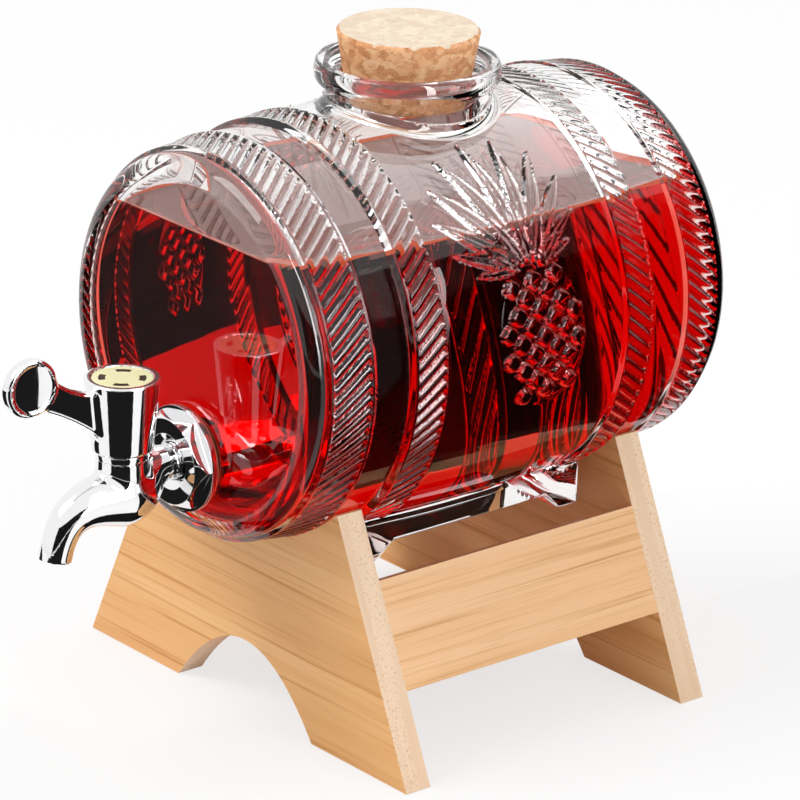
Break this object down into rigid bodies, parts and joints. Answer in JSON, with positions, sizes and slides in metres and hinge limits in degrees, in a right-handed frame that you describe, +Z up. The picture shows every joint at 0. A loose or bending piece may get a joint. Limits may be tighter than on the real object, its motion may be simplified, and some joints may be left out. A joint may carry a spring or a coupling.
{
  "type": "barrel drink dispenser",
  "caption": "Clear glass barrel lying in a bamboo stand, with a cork in its filling neck, a red drink inside and a lever tap with a curved spout in its front head.",
  "frame": {"origin": "on the floor, under the middle of the stand, on the upright plane through the barrel's axis", "axes": "+Z up, Y along the axis of the barrel with the tap at its -Y end, +X towards the side that is on the right when one faces the tap from the front"},
  "size_m": [0.136, 0.2007, 0.1798],
  "materials": {
    "clear_glass": "clear, pressed",
    "red_drink": "clear red liquid",
    "cork": "agglomerated cork",
    "bamboo": "satin, laminated strips",
    "dowel_wood": "plain",
    "seal_silicone": "soft, slightly clear",
    "polished_chrome": "mirror",
    "white_polymer": "moulded",
    "ring_rubber": "matt",
    "screw_steel": "turned",
    "index_cream": "gloss with dark marks"
  },
  "bodies": {
    "stand": {"front_board": "bamboo", "rear_board": "bamboo", "left_rail": "bamboo", "right_rail": "bamboo", "front_dowels": "dowel_wood", "rear_dowels": "dowel_wood"},
    "barrel": {"glass_barrel": "clear_glass", "drink": "red_drink", "outer_seal": "seal_silicone", "inner_seal": "seal_silicone", "hex_flange_nut": "polished_chrome", "lock_nut": "polished_chrome", "tap_body": "polished_chrome", "tap_collar": "polished_chrome", "friction_washer": "white_polymer"},
    "cork": {"cork_stopper": "cork"},
    "handle": {"tap_handle": "polished_chrome", "valve_plug": "white_polymer", "plug_rings": "ring_rubber", "handle_screw": "screw_steel", "index_disc": "index_cream"}
  },
  "joints": [
    {"name": "barrel_lift", "type": "slide", "parent": "stand", "child": "barrel", "axis": [0, 0, 1], "range_m": [0, 0.06]},
    {"name": "cork_pull", "type": "slide", "parent": "barrel", "child": "cork", "axis": [0, 0, 1], "range_m": [0, 0.04]},
    {"name": "handle_turn", "type": "hinge", "parent": "barrel", "child": "handle", "pos_m": [0, -0.0925, 0.0834], "axis": [0, 0, 1], "range_deg": [-90, 90]}
  ]
}
